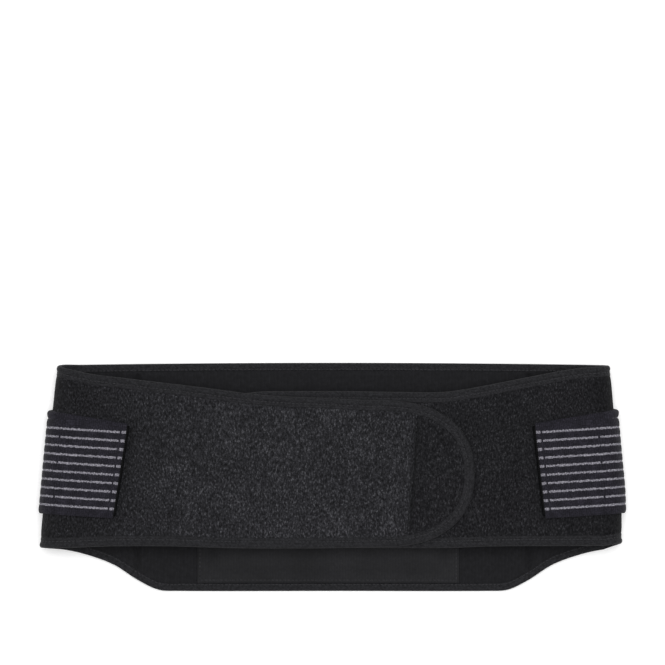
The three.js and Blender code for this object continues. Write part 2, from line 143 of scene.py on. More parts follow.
paper, _, paper_shader = new_material("white_paper")
paper_shader.inputs["Base Color"].default_value = linear("#fcfcfc")
paper_shader.inputs["Roughness"].default_value = 0.9
paper_shader.inputs["Emission Color"].default_value = (1, 1, 1, 1)
paper_shader.inputs["Emission Strength"].default_value = 0.14

floor_half = 3.0
floor_level = -0.2 * mm  # just clear of the tape's ridge
corner_ways = [(-1, -1), (1, -1), (1, 1), (-1, 1)]
floor_corners = [(x * floor_half, y * floor_half, floor_level) for x, y in corner_ways]
floor_mesh = bpy.data.meshes.new("paper_floor")
floor_mesh.from_pydata(floor_corners, [], [(0, 1, 2, 3)])
floor_mesh.materials.append(paper)
floor = bpy.data.objects.new("paper_floor", floor_mesh)
bpy.context.scene.collection.objects.link(floor)
floor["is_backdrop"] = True
print("floor:", 2 * floor_half, "m square")

# %% [markdown]
# The belt is cut flat and then turned round two side folds. So each wing has a flat pattern: x runs
# along the wing, from 0 where the fold starts in front, and y runs along the fold. The sizes below are
# the ones the solids were made from, so that each cloth lies where its solid lies.

# %% Sizes of the belt
belt_width = 451 * mm
fold_lean = 13 * mm
side_top = 86.2 * mm
side_bottom = 54 * mm
fold_radius = 15 * mm
fold_pinch = 3.2 * mm
fold_raise = 3.4 * mm
front_sag = 2 * mm
back_height = 176 * mm
back_width = 302 * mm
over_top = 61 * mm
under_top = 66.4 * mm
over_reach, under_reach = 108.5 * mm, 116 * mm
tab_round = 68.5 * mm
tab_roundness = 2.3
tab_seam_top, tab_seam_bottom = 65.3 * mm, 57.3 * mm
panel_thickness = 3.6 * mm
tape_thickness = 0.7 * mm
binding_outside, binding_inside = 8 * mm, 6 * mm
webbing_width = 73.5 * mm
webbing_thickness = 1.5 * mm
hook_thickness = 1.2 * mm
gap = 0.3 * mm
strap_reach = {"left": 60.8 * mm, "right": 65.4 * mm}
strap_skew = {"left": math.radians(2.5), "right": 0.0}
strap_end_up = 5.6 * mm
strap_tilt = math.radians(6.5)
strap_fan = math.radians(2.9)
strap_hook_length = 29 * mm
# How far the hook tape peeks past the webbing's end: partly the tape, partly a painted shadow under the
# raised end.
strap_hook_peek_and_shadow = 1.8 * mm
strap_hook_inset = 2 * mm
strap_ramp = 8 * mm
closure_hook_inset = 2 * mm
pocket_width, pocket_height = 202 * mm, 132 * mm
pocket_shift = -3.9 * mm
pocket_cloth = 1.2 * mm
pocket_depth = 7 * mm
pocket_seam = 5 * mm
pocket_shoulder = 15 * mm
fall_start, fall_length = 42 * mm, 36 * mm

edge_thickness = panel_thickness - 2 * (gap + tape_thickness)
strap_stack = 2 * (webbing_thickness + gap)
closure_stack = panel_thickness + hook_thickness + 2 * gap
side_level = strap_stack + panel_thickness / 2
axis_level = side_level + fold_radius
half_turn = math.pi * fold_radius
outer_radius = fold_radius + panel_thickness / 2
seam_out = back_width / 2
print("cloth round each fold:", round(half_turn / mm, 1), "mm")

# %% [markdown]
# Each edge of the belt is a smooth curve through a few rows. A row's first number says how far out it
# lies, from 0 at the middle of the belt to 1 at the fold. Its second number is 0 for the height of the
# edge at the fold and 1 for its height at the middle. In the front's two lower edges, which are nearly
# straight, it is in millimetres below their height at the fold.

# %% Edge curves
over_top_shape = [
    (-0.5, 1.1), (-0.16, 1.06), (0, 1), (0.25, 0.9), (0.5, 0.64), (0.76, 0.38), (0.88, 0.25), (1, 0),
]
over_bottom_shape = [
    (-0.5, -1.8), (-0.16, -0.8), (0, -0.1), (0.14, 0.1), (0.3, 0), (0.42, -0.6), (0.55, -1.5), (0.75, -1.5),
    (0.9, -0.4), (1, 0),
]
under_top_shape = [
    (-0.55, 1.02), (0, 1), (0.24, 1.03), (0.4, 1.03), (0.54, 0.8), (0.72, 0.42), (0.87, 0.13), (1, 0),
]
under_bottom_shape = [(-0.55, -0.2), (0, -0.2), (0.27, 0), (0.4, -0.2), (0.55, -1.3), (0.8, -1.8), (1, -2)]
back_bottom_shape = [
    (-0.54, 1), (0, 1), (0.54, 1), (0.6, 0.965), (0.67, 0.74), (0.75, 0.4), (0.85, 0.16), (0.93, 0.05),
    (1, 0),
]


def smoothstep(share):
    share = np.clip(share, 0, 1)
    return share * share * (3 - 2 * share)


def curve_through(rows):
    """A smooth curve through the rows of a shape table."""
    places, falls = np.array(rows, dtype=float).T
    before = np.maximum(np.arange(len(rows)) - 1, 0)
    after = np.minimum(np.arange(len(rows)) + 1, len(rows) - 1)
    slopes = (falls[after] - falls[before]) / (places[after] - places[before])

    def curve(out):
        i = np.clip(np.searchsorted(places, out, side="right") - 1, 0, len(rows) - 2)
        width = places[i + 1] - places[i]
        t = (out - places[i]) / width
        ends = falls[i] * (1 + 2 * t) * (1 - t) ** 2 + falls[i + 1] * t**2 * (3 - 2 * t)
        return ends + width * (slopes[i] * t * (1 - t) ** 2 - slopes[i + 1] * t**2 * (1 - t))

    return curve


def edge_curve(shape, fold_out, at_fold, at_middle):
    """Height of an edge from the middle line, for places in metres from the middle of the belt."""
    fall = curve_through(shape)
    return lambda out: at_fold + (at_middle - at_fold) * fall(np.asarray(out, dtype=float) / fold_out)


fold_out_top = belt_width / 2 - fold_lean
fold_out_bottom = belt_width / 2
back_edges = {
    "top": lambda out: back_height / 2 - (back_height / 2 - side_top) * (np.asarray(out) / fold_out_top) ** 2,
    "bottom": edge_curve(back_bottom_shape, fold_out_bottom, -side_bottom, -back_height / 2),
}


def front_edges(top_shape, bottom_shape, top, reach):
    """The two front edges of a wing that ends in a rounded tab."""
    plain_top = edge_curve(top_shape, fold_out_top, side_top, top)
    plain_bottom = edge_curve(bottom_shape, fold_out_bottom, -side_bottom, -side_bottom - 1 * mm)
    round_start = tab_round - reach

    def side(out, sign):
        middle = (plain_top(out) + plain_bottom(out)) / 2
        half = (plain_top(out) - plain_bottom(out)) / 2
        share = np.clip((round_start - out) / tab_round, 0, 1)
        return middle + sign * half * (1 - share**tab_roundness) ** (1 / tab_roundness)

    return {"top": lambda out: side(out, 1), "bottom": lambda out: side(out, -1), "round_start": round_start}


over_edges = front_edges(over_top_shape, over_bottom_shape, over_top, over_reach)
under_edges = front_edges(under_top_shape, under_bottom_shape, under_top, under_reach)
front_height = float(over_edges["top"](0) - over_edges["bottom"](0))
print("front height at the middle:", round(front_height / mm, 1), "mm")

# %% [markdown]
# Placing the pattern in space takes three stretches: flat in front, round the fold, flat behind. The
# lift is the distance out from the middle of the cloth. A little unevenness, shared by all the layers
# at one place, keeps the cloth from looking machined, and the layers stay clear of each other.

# %% Round the side folds
fold_up = np.array([-fold_lean, side_top + side_bottom])
fold_up = fold_up / np.linalg.norm(fold_up)
fold_out = np.array([fold_up[1], -fold_up[0]])
axis_point = np.array([fold_out_bottom, -side_bottom]) - outer_radius * fold_out
fold_slant = math.atan2(fold_out[1], fold_out[0])
over_fall = front_sag - closure_stack / 2
under_fall = front_sag + closure_stack / 2


def on_pattern(out, up, face):
    """The pattern point of a point seen from above, on the front or the back of the belt."""
    start = np.stack(np.broadcast_arrays(out, up), axis=-1) - axis_point
    past = start @ fold_out
    turned = fold_radius * np.arcsin(np.clip(past / outer_radius, 0, 1))
    along = np.where(past <= 0, past, turned)
    return np.stack([along if face == "front" else half_turn - along, start @ fold_up], axis=-1)


rise_start, rise_end = seam_out * 0.78, seam_out * 0.96  # where the back cloth climbs onto the straps


def back_level(out):
    """Height of the cloth's middle under the belt, which the straps raise beside the seams."""
    share = smoothstep((np.abs(out) - rise_start) / (rise_end - rise_start))
    return panel_thickness / 2 + strap_stack * share


def unevenness(point, phase):
    """Slow, slight waves of cloth that isn't ironed flat."""
    u, v = point[..., 0], point[..., 1]
    broad = np.sin(u / (31 * mm) + phase) * np.sin(v / (37 * mm) + 1.7 * phase)
    fine = np.sin(u / (13 * mm) + v / (19 * mm) + 2.3 * phase)
    return 0.35 * mm * broad + 0.12 * mm * fine


pinch_start, pinch_length = 52 * mm, 58 * mm  # from the fold's lower end up


def wing_place(side, fall, phase, pinch):
    """Places pattern points of a wing in space, with a lift out from the middle of the cloth. The
    lower end of its fold lies a pinch nearer to the middle."""

    def place(point, lift):
        u, v = point[..., 0], point[..., 1]
        turn = np.clip(u / fold_radius, 0, math.pi)
        front_share = np.clip((half_turn - u) / half_turn, 0, 1)
        wave = unevenness(point, phase) * smoothstep(front_share * 1.6)
        lift = lift + wave
        sag = fall * smoothstep((-u - fall_start) / fall_length)
        flat_front = np.minimum(u, 0)
        flat_back = np.minimum(half_turn - u, 0)
        pinched = pinch * smoothstep((pinch_start - v) / pinch_length)
        across = flat_front + flat_back + (fold_radius + lift - pinched) * np.sin(turn)
        plan = axis_point + v[..., None] * fold_up + across[..., None] * fold_out
        height = axis_level + (fold_radius + lift) * np.cos(turn) - np.where(u < 0, sag, 0)
        rise = back_level(plan[..., 0]) - side_level
        height = height + np.where(u > half_turn, rise, 0)
        return np.stack([side * plan[..., 0], plan[..., 1], height], axis=-1)

    return place


def back_place(point, lift):
    return np.stack([point[..., 0], point[..., 1], back_level(point[..., 0]) - lift], axis=-1)


over_place = wing_place(-1, over_fall, 0.4, 0.0)
under_place = wing_place(1, under_fall, 2.1, fold_pinch)
print("front of a fold at", round((axis_level + fold_radius) / mm, 1), "mm above the floor")

# %% [markdown]
# A cloth piece is lofted across lines that run from its lower edge to its top edge. Where the cloth
# bends or is sewn the lines lie close together, and elsewhere they lie a few millimetres apart, so
# that the mesh is fine where the eye needs it.

# %% Lines across the cloth
def meet_axis(edge):
    """Where an edge seen from above meets the line where the fold starts."""
    out = axis_point[0]
    for _ in range(8):
        out = axis_point[0] + (float(edge(out)) - axis_point[1]) * (fold_up[0] / fold_up[1])
    return out


def close_at_ends(count, start=1.0, end=1.0):
    """Shares from 0 to 1 in even steps. A power over 1 draws the steps together at that end."""
    even = np.linspace(0, 1, count + 1)
    drawn = even**start * (1 - even) + (1 - (1 - even) ** end) * even
    return drawn / drawn[-1]


def lines_between(edges, face, start, end, shares):
    found = {}
    for name in ("bottom", "top"):
        out = start[name] + (end[name] - start[name]) * shares
        found[name] = on_pattern(out, edges[name](out), face)
    return found


def fold_lines(edges, shares, drawn_up):
    """Round the fold each edge runs smoothly through the back, the crest and the front. The lower
    corner of the crest is drawn up by a length."""
    crest = {"bottom": (fold_out_bottom, drawn_up - side_bottom), "top": (fold_out_top, side_top)}
    found = {}
    for name in ("bottom", "top"):
        behind = meet_axis(back_edges[name])
        before = meet_axis(edges[name])
        start = on_pattern(behind, back_edges[name](behind), "back")[1]
        end = on_pattern(before, edges[name](before), "front")[1]
        bow = 4 * (on_pattern(*crest[name], "front")[1] - (start + end) / 2)
        along = start + (end - start) * shares + bow * shares * (1 - shares)
        found[name] = np.stack([half_turn * (1 - shares), along], axis=-1)
    return found


def tab_lines(edges, start, shares):
    """The rounded end of a wing, out to its tip."""
    found = {}
    for name in ("bottom", "top"):
        first = math.asin(((edges["round_start"] - start[name]) / tab_round) ** (tab_roundness / 2))
        turn = first + (math.pi / 2 - first) * shares
        out = edges["round_start"] - tab_round * np.sin(turn) ** (2 / tab_roundness)
        found[name] = on_pattern(out, edges[name](out), "front")
    return found


def join_lines(*parts):
    """Stretches that follow each other, each starting on the last line of the one before."""
    first, rest = parts[0], parts[1:]
    return {n: np.concatenate([first[n]] + [part[n][1:] for part in rest]) for n in ("bottom", "top")}


def unit(vectors):
    return vectors / np.maximum(np.linalg.norm(vectors, axis=-1, keepdims=True), 1e-12)


def run_along(path):
    """Distance along a path of pattern points, from its start."""
    return np.concatenate([[0], np.cumsum(np.linalg.norm(np.diff(path, axis=0), axis=1))])


normal_smoothing = 12  # rounds of evening out, where an edge bends at a fold
seam_hold = 32 * mm  # beside a seam, lines are held to their own way
least_slant = 0.3


def inset(lines, depth, rounded):
    """The lines' ends moved in from both edges, and from the tip where the end is rounded. Beside a
    seam they move along their lines, so that none crosses it."""
    run = run_along((lines["bottom"] + lines["top"]) / 2)
    from_seam = run if rounded else np.minimum(run, run[-1] - run)
    held = (1 - smoothstep(from_seam / seam_hold))[:, None]
    moved = {}
    for name, other in (("bottom", "top"), ("top", "bottom")):
        at, far = lines[name], lines[other]
        along = np.empty_like(at)
        along[1:-1] = at[2:] - at[:-2]
        along[0] = at[1] - at[0]
        along[-1] = far[-2] - at[-2] if rounded else at[-1] - at[-2]
        along = unit(along)
        normal = np.stack([-along[:, 1], along[:, 0]], axis=-1)
        inward = np.mean(far[:-1] - at[:-1], axis=0)
        if normal[0] @ inward < 0:
            normal = -normal
        for _ in range(normal_smoothing):
            normal[1:-1] = unit(normal[:-2] + 2 * normal[1:-1] + normal[2:])
        across = unit(far - at)
        slant = np.maximum(np.sum(across * normal, axis=1, keepdims=True), least_slant)
        moved[name] = at + depth * ((1 - held) * normal + held * across / slant)
    return moved


seam_start = {"bottom": seam_out, "top": seam_out}
fold_start = {name: meet_axis(back_edges[name]) for name in ("bottom", "top")}


def wing_lines(edges, end, end_power, drawn_up):
    """All the lines of a wing, closest together at its folds, its seams and the strap's end."""
    front_start = {name: meet_axis(edges[name]) for name in ("bottom", "top")}
    beside_strap = belt_width / 2 - strap_reach["left"] + np.linspace(-17, 5, 23) * mm
    at_strap = (beside_strap - front_start["top"]) / (end["top"] - front_start["top"])
    front_shares = np.sort(np.concatenate([close_at_ends(72, end=end_power), at_strap]))
    return join_lines(
        lines_between(back_edges, "back", seam_start, fold_start, close_at_ends(16, start=2)),
        fold_lines(edges, close_at_ends(32), drawn_up),
        lines_between(edges, "front", front_start, end, front_shares),
    )


tab_seam = {"bottom": -tab_seam_bottom, "top": -tab_seam_top}
left_wing_lines = wing_lines(over_edges, tab_seam, 2, 0.0)
closure_tab_lines = tab_lines(over_edges, tab_seam, close_at_ends(48, start=2))
left_outline = join_lines(left_wing_lines, closure_tab_lines)
under_end = {name: under_edges["round_start"] - 1 * mm for name in ("bottom", "top")}
right_wing_lines = wing_lines(under_edges, under_end, 1, fold_raise)
right_outline = join_lines(right_wing_lines, tab_lines(under_edges, under_end, close_at_ends(48)))
back_out = seam_out * np.sin(np.linspace(-math.pi / 2, math.pi / 2, 121))
back_outline = {
    name: np.stack([back_out, back_edges[name](np.abs(back_out))], axis=-1) for name in ("bottom", "top")
}
print("lines across the left wing:", len(left_outline["top"]), "and across the back:", len(back_out))

# %% [markdown]
# Every mesh here is a loft: rings of points joined by quads, closed by a strip at each end. The
# pattern point of each vertex is kept as a UV map in metres, because knit and ribs follow the cloth.

# %% Mesh helpers
def loft_faces(ring_count, ring_size):
    """Quads between the rings of a loft."""
    i = np.arange(ring_count - 1)[:, None] * ring_size
    k = np.arange(ring_size)[None, :]
    after = (k + 1) % ring_size
    return np.stack([i + k, i + after, i + ring_size + after, i + ring_size + k], axis=-1).reshape(-1, 4)


def end_strips(ring_count, ring_size):
    """Quads that close the first and the last ring of a flat section."""
    k = np.arange(ring_size // 2 - 1)
    low = ring_size - 1 - k
    first = np.stack([k, low, low - 1, k + 1], axis=-1)
    last = (ring_count - 1) * ring_size
    return np.concatenate([first, last + first[:, ::-1]])


def closed_loft(rings):
    ring_count, ring_size = rings.shape[:2]
    return np.concatenate([loft_faces(ring_count, ring_size), end_strips(ring_count, ring_size)])


def both_faces(outer, inner):
    """Rings that run across the outer face and back across the inner one."""
    return np.concatenate([outer, inner[:, ::-1]], axis=1)


def add_mesh(name, points, faces, materials, face_materials=None, uv=None):
    """A smooth-shaded object from arrays, facing out."""
    mesh = bpy.data.meshes.new(name)
    mesh.from_pydata(points.reshape(-1, 3).tolist(), [], faces.tolist())
    for material in materials:
        mesh.materials.append(material)
    if face_materials is not None:
        mesh.polygons.foreach_set("material_index", face_materials.astype(np.int32))
    if uv is not None:
        corners = np.empty(len(mesh.loops), dtype=np.int32)
        mesh.loops.foreach_get("vertex_index", corners)
        layer = mesh.uv_layers.new(name="cloth")
        layer.data.foreach_set("uv", uv.reshape(-1, 2)[corners].astype(np.float32).ravel())
    a, b, c, d = (points.reshape(-1, 3)[faces[:, n]] for n in range(4))
    if np.sum(a * np.cross(b, c)) + np.sum(a * np.cross(c, d)) < 0:
        mesh.flip_normals()
    mesh.polygons.foreach_set("use_smooth", np.ones(len(faces), dtype=bool))
    mesh.update()
    built = bpy.data.objects.new(name, mesh)
    bpy.context.scene.collection.objects.link(built)
    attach(built, "root")
    print(name, "faces:", len(faces))
    return built

# %% [markdown]
# The outside of the belt is brushed nylon loop fabric, the soft half of hook and loop. Its loops are
# about 1.2 mm apart and lie every way, so it shows as fine grey flecks over near-black hollows, and it
# hardly shines. Hair could be grown as loops, but from this far off it would only look like noise. So
# noise at the scale of the loops gives the flecks, and drives the bump as well. Towards each fold the
# colour is painted darker, as shade where the light falls off round the fold. The tab and the right wing
# take a darker copy of the fabric: painted shade, for the weaker light on them.

# %% Brushed nylon loop fabric
loop_spacing = 1.2 * mm
fleck_length = 2.2 * mm
loop_relief = 0.7 * mm
mottle_size = 24 * mm
# The second steps are the same fabric made darker: painted shade, for the tab and the right wing.
plain_loop_steps = [(0.3, "#101011"), (0.44, "#1e1e20"), (0.57, "#2e2e31"), (0.7, "#545458")]
painted_shade_loop_steps = [(0.3, "#0c0c0d"), (0.45, "#18181a"), (0.58, "#242426"), (0.72, "#414145")]
# Painted shade towards each fold is full this far
fold_shade_full_past = 16 * mm  # past the start of the fold


def weighted_sum(tree, start, *parts):
    """A start value plus each source times its weight."""
    total = start
    for source, weight in parts:
        total = add_node(tree, "Math", {0: source, 1: weight, 2: total}, operation="MULTIPLY_ADD")
    return total


def finish_cloth(tree, shader, colour, normal, roughness, specular, sheen):
    """Links a cloth's colour and bump to its shader, and sets how it takes the light."""
    tree.links.new(colour, shader.inputs["Base Color"])
    if normal:
        tree.links.new(normal, shader.inputs["Normal"])
    shader.inputs["Roughness"].default_value = roughness
    shader.inputs["Specular IOR Level"].default_value = specular
    shader.inputs["Sheen Weight"].default_value = sheen
    shader.inputs["Sheen Roughness"].default_value = 0.5


def loop_fabric(name, steps, fold_shade_before, fold_shade_depth):
    """Brushed loops whose colours go from the hollows to the flecks. Painted shade darkens them by a depth,
    from a length before the fold on, for the light that falls off round the fold."""
    material, tree, shader = new_material(name)
    place = add_node(tree, "TexCoord", output="Object")
    stretch = (1, loop_spacing / fleck_length, 1)
    drawn_out = add_node(tree, "VectorMath", {0: place, 1: stretch}, operation="MULTIPLY")
    loops = add_node(tree, "TexNoise", {0: drawn_out}, Scale=1 / loop_spacing, Detail=3, Roughness=0.75)
    mottle = add_node(tree, "TexNoise", {0: place}, Scale=1 / mottle_size, Detail=2, Roughness=0.55)
    round_fold = add_node(tree, "SeparateXYZ", {0: add_node(tree, "UVMap", uv_map="cloth")}, "X")
    painted_fold_shade = add_node(
        tree, "MapRange", {"Value": round_fold},
        interpolation_type="SMOOTHSTEP", From_Min=-fold_shade_before, From_Max=fold_shade_full_past, To_Max=-fold_shade_depth,
    )
    shaded = weighted_sum(tree, -0.05, (painted_fold_shade, 1.0), (mottle, 0.1), (loops, 1.0))
    flecks = add_node(tree, "ValToRGB", {0: shaded}, steps=steps)
    normal = add_node(tree, "Bump", {"Height": loops}, Distance=loop_relief, Strength=0.8)
    finish_cloth(tree, shader, flecks, normal, 1.0, 0.05, 0.03)
    return material


# Both copies carry painted shade towards the folds. The second is darker all over, as painted shade for the
# tab and the right wing.
loop_plush = loop_fabric("brushed_nylon_loop", plain_loop_steps, 110 * mm, 0.09)
painted_shade_plush = loop_fabric("brushed_nylon_loop_painted_shade", painted_shade_loop_steps, 14 * mm, 0.07)
print("loop fabric: loops every", round(loop_spacing / mm, 1), "mm")

# %% [markdown]
# Inside, the belt is lined with a smooth warp knit. Its ridges are too fine to see apart at this
# distance, so they are drawn a little coarser than the real half millimetre. A sine along the cloth's
# own map makes them, so that they turn with the cloth round a fold.

# %% Warp-knit lining
lining_ridge = 1.1 * mm  # coarser than the real 0.5 mm, to show


def knit_ridges(tree, along, spacing, noise, wander):
    """Even ridges across one coordinate, from 0 to 1, which wander with a noise."""
    phase = weighted_sum(tree, 0.0, (along, 2 * math.pi / spacing), (noise, wander))
    return weighted_sum(tree, 0.5, (add_node(tree, "Math", {0: phase}, operation="SINE"), 0.5))


def knit_cloth(name, ridge, relief, grains, steps, finish, slanting=False):
    """A knit whose ridges cross the cloth's map, or lie slanting over the piece. A ridge has a spacing, a
    wander and a weight, a relief its depth and strength. Each grain of noise has a size, a detail, a
    roughness and a weight, and the first one bends the ridges."""
    material, tree, shader = new_material(name)
    place = add_node(tree, "TexCoord", output="Object")
    if slanting:
        x, y = (add_node(tree, "SeparateXYZ", {0: place}, axis) for axis in "XY")
        along = weighted_sum(tree, 0.0, (x, 1.0), (y, 1.0))
    else:
        along = add_node(tree, "SeparateXYZ", {0: add_node(tree, "UVMap", uv_map="cloth")}, "X")
    noises = [
        (add_node(tree, "TexNoise", {0: place}, Scale=1 / size, Detail=detail, Roughness=roughness), weight)
        for size, detail, roughness, weight in grains
    ]
    spacing, wander, ridge_weight = ridge
    ridges = knit_ridges(tree, along, spacing, noises[0][0], wander)
    blend = weighted_sum(tree, 0.0, (ridges, ridge_weight), *noises)
    shades = add_node(tree, "ValToRGB", {0: blend}, steps=steps)
    normal = add_node(tree, "Bump", {"Height": ridges}, Distance=relief[0], Strength=relief[1])
    finish_cloth(tree, shader, shades, normal, *finish)
    return material


lining_knit = knit_cloth(
    "warp_knit_lining", (lining_ridge, 5.0, 0.35), (0.15 * mm, 0.5), [(3 * mm, 2, 0.55, 0.65)],
    [(0.2, "#131315"), (0.5, "#19191b"), (0.8, "#222225")], (0.85, 0.12, 0.05),
)
print("lining: ridges every", round(lining_ridge / mm, 2), "mm")

# %% [markdown]
# Folding tape binds the edges. It is a flat nylon knit, smoother and a shade lighter than the plush.
# Its fine slanting ridges catch the light as it turns over the edge. A polyester thread in the same
# colour holds it, and its twist is drawn by noise alone, because a thread is narrower than a pixel.

# %% Nylon folding tape and polyester thread
tape_ridge = 1.2 * mm  # coarser than the real 0.6 mm, to show
thread_twist = 0.8 * mm

folding_tape = knit_cloth(
    "nylon_folding_tape", (tape_ridge, 4.0, 0.25), (0.1 * mm, 0.35), [(1.6 * mm, 3, 0.7, 0.75)],
    [(0.32, "#111113"), (0.5, "#1d1d1f"), (0.66, "#303033")], (0.8, 0.1, 0.03), slanting=True,
)

thread, tree, shader = new_material("polyester_thread")
place = add_node(tree, "TexCoord", output="Object")
twist = add_node(tree, "TexNoise", {"Vector": place}, Scale=1 / thread_twist, Detail=2, Roughness=0.55)
shades = add_node(tree, "ValToRGB", {0: twist}, steps=[(0.3, "#202022"), (0.7, "#3a3a3d")])
finish_cloth(tree, shader, shades, None, 0.7, 0.2, 0.0)
print("tape: ridges every", round(tape_ridge / mm, 1), "mm")

# %% [markdown]
# The side straps are ribbed elastic webbing: black ribs of spun yarn between narrow stripes of lighter
# yarn. Where the webbing is hemmed the stitching crosses the stripes and breaks them. The map across
# the webbing places the stripes, and the map along it places the hem. An image could carry them too,
# but formulas stay sharp at any distance.

# %% Ribbed elastic webbing
rib_count = 11
rib_pitch = 6.56 * mm
stripe_width = 1.5 * mm
stripe_waver = 1.9 * mm  # how far the yarn's fray moves a stripe
end_widening = 0.04  # of a rib: the stripes are wider on the folded end
hem_length = 2.6 * mm
hem_break = 1.3 * mm
tack_row = 45 * mm  # a second row of stitches, where the webbing starts round the side
tack_half = 0.6 * mm
weft_spacing = 1.5 * mm  # coarser than the real 1 mm, to show
half_stripe = stripe_width / 2 / rib_pitch

elastic_webbing, tree, shader = new_material("ribbed_elastic_webbing")
cloth = add_node(tree, "UVMap", uv_map="cloth")
along, across = (add_node(tree, "SeparateXYZ", {0: cloth}, axis) for axis in "XY")
fray, gathers, yarn, shading = (
    add_node(tree, "TexNoise", {"Vector": cloth}, Scale=1 / size, Detail=detail, Roughness=0.55)
    for size, detail in ((1.6 * mm, 3), (9 * mm, 1), (1.1 * mm, 2), (7 * mm, 2))
)
waver = stripe_waver / rib_pitch
in_ribs = weighted_sum(tree, -waver / 2, (fray, waver), (across, 1 / rib_pitch))
in_one_rib = add_node(tree, "Math", {0: in_ribs}, operation="FRACT")
from_stripe = add_node(tree, "Math", {0: weighted_sum(tree, -0.5, (in_one_rib, 1.0))}, operation="ABSOLUTE")
folded_end = add_node(tree, "Math", {0: along, 1: hem_length - hem_break / 2}, operation="LESS_THAN")
stripe = add_node(
    tree, "MapRange", {"Value": weighted_sum(tree, from_stripe, (folded_end, -end_widening))},
    interpolation_type="SMOOTHSTEP", From_Min=half_stripe * 1.35, From_Max=half_stripe * 0.65,
)
at_hem, at_tack, off_edges = (
    add_node(tree, "Math", {0: source, 1: middle, 2: reach}, operation="COMPARE")
    for source, middle, reach in (
        (along, hem_length, hem_break / 2),
        (along, tack_row, tack_half),
        (across, 0.0, rib_pitch * (rib_count / 2 - 0.2)),
    )
)
gathered = add_node(tree, "Math", {0: gathers, 1: 0.53}, operation="GREATER_THAN")
tacked = add_node(tree, "Math", {0: at_tack, 1: gathered}, operation="MULTIPLY")
sewn_over = add_node(tree, "Math", {0: at_hem, 1: tacked}, operation="MAXIMUM")
showing = add_node(tree, "Math", {0: stripe, 1: off_edges}, operation="MULTIPLY")
stripe_mask = add_node(
    tree, "Math", {0: showing, 1: weighted_sum(tree, 1.0, (sewn_over, -1.0))}, operation="MULTIPLY"
)
weft = knit_ridges(tree, along, weft_spacing, fray, 6.0)
spun = weighted_sum(tree, -0.25, (yarn, 0.88), (weft, 0.12), (shading, 0.5))
rib_steps = [(0.25, "#121116"), (0.5, "#1e1d23"), (0.75, "#2e2c35")]
stripe_steps = [(0.3, "#4a484e"), (0.5, "#77757d"), (0.7, "#a19fa7")]
rib_shade = add_node(tree, "ValToRGB", {0: spun}, steps=rib_steps)
stripe_shade = add_node(tree, "ValToRGB", {0: yarn}, steps=stripe_steps)
mixed = add_node(
    tree, "Mix", {"Factor": stripe_mask, 6: rib_shade, 7: stripe_shade}, output=2, data_type="RGBA"
)
raised = weighted_sum(tree, 0.0, (weft, 0.6), (yarn, 0.6))
normal = add_node(tree, "Bump", {"Height": raised}, Distance=0.3 * mm, Strength=0.7)
finish_cloth(tree, shader, mixed, normal, 0.85, 0.1, 0.03)
print("webbing:", rib_count, "ribs every", rib_pitch / mm, "mm")

# %% [markdown]
# The hook patches are moulded nylon hook tape: rows of small stiff hooks on a black band. Only a thin
# line of them shows, so a pattern of cells stands for the hooks, dark and rough. Beside the straps'
# front ends that line is near black and peeks past the webbing: partly the tape, partly painted shadow
# from under the raised ends. The pocket is a fine stretch knit, a little lighter than the lining that it
# is sewn to, with broad soft patches where it is stretched.

# %% Moulded nylon hook tape and stretch knit
hook_spacing = 1.4 * mm
pocket_ridge = 1.2 * mm  # coarser than the real 0.4 mm, to show

hook_tape_and_shadow, tree, shader = new_material("moulded_nylon_hook_tape_and_shadow")
place = add_node(tree, "TexCoord", output="Object")
hooks = add_node(tree, "TexVoronoi", {"Vector": place}, Scale=1 / hook_spacing, Randomness=0.2)
# Near black: the tape's own colour, and painted shadow for the line beside the straps' ends.
shades = add_node(tree, "ValToRGB", {0: hooks}, steps=[(0.1, "#08080a"), (0.5, "#020203")])
hook_height = weighted_sum(tree, 1.0, (hooks, -1.0))
normal = add_node(tree, "Bump", {"Height": hook_height}, Distance=0.6 * mm, Strength=0.8)
finish_cloth(tree, shader, shades, normal, 0.6, 0.08, 0.0)

stretch_knit = knit_cloth(
    "nylon_stretch_knit", (pocket_ridge, 5.0, 0.2), (0.12 * mm, 0.5),
    [(2.2 * mm, 3, 0.55, 0.4), (35 * mm, 1, 0.55, 0.4)],
    [(0.25, "#19191a"), (0.5, "#202022"), (0.75, "#29292b")], (0.8, 0.12, 0.04),
)
print("materials:", len(bpy.data.materials))

# %% [markdown]
# A panel is plush, foam and lining in one. Its rings run across it. Near an edge the foam is pressed
# flat under the tape, just past the tape it swells back up, and along a seam it dips into a groove.
# Three sheets could lie on each other, but only the outer faces are seen, so one closed loft with two
# materials does.

# %% Panels of plush and lining
edge_steps = np.array([1.0, 2.5, 4.5, 5.6, 6.1, 6.8, 7.6, 8.1, 8.6, 9.3, 10.4, 12, 14.5, 18]) * mm
press_share, press_length = 0.6, 2.2 * mm  # how the foam swells back, past the tape


def pressed(distance, tape_edge):
    """How far the foam is pressed in, at a distance in from a bound edge."""
    full = (panel_thickness - edge_thickness) / 2
    past = np.maximum(distance - tape_edge, 0)
    return np.where(distance < tape_edge, full, press_share * full * np.exp(-past / press_length))


def across_panel(lines, rounded, middle_count):
    """Pattern points across each line, with their distance in from the nearer edge."""
    moved = [inset(lines, depth, rounded) for depth in edge_steps]
    low, high = ([ends[name] for ends in moved] for name in ("bottom", "top"))
    shares = np.linspace(0, 1, middle_count + 2)[1:-1]
    middle = [low[-1] + (high[-1] - low[-1]) * share for share in shares]
    far_in = np.full(middle_count, 1.0)
    points = np.stack(low + middle + high[::-1], axis=1)
    return points, np.concatenate([edge_steps, far_in, edge_steps[::-1]])


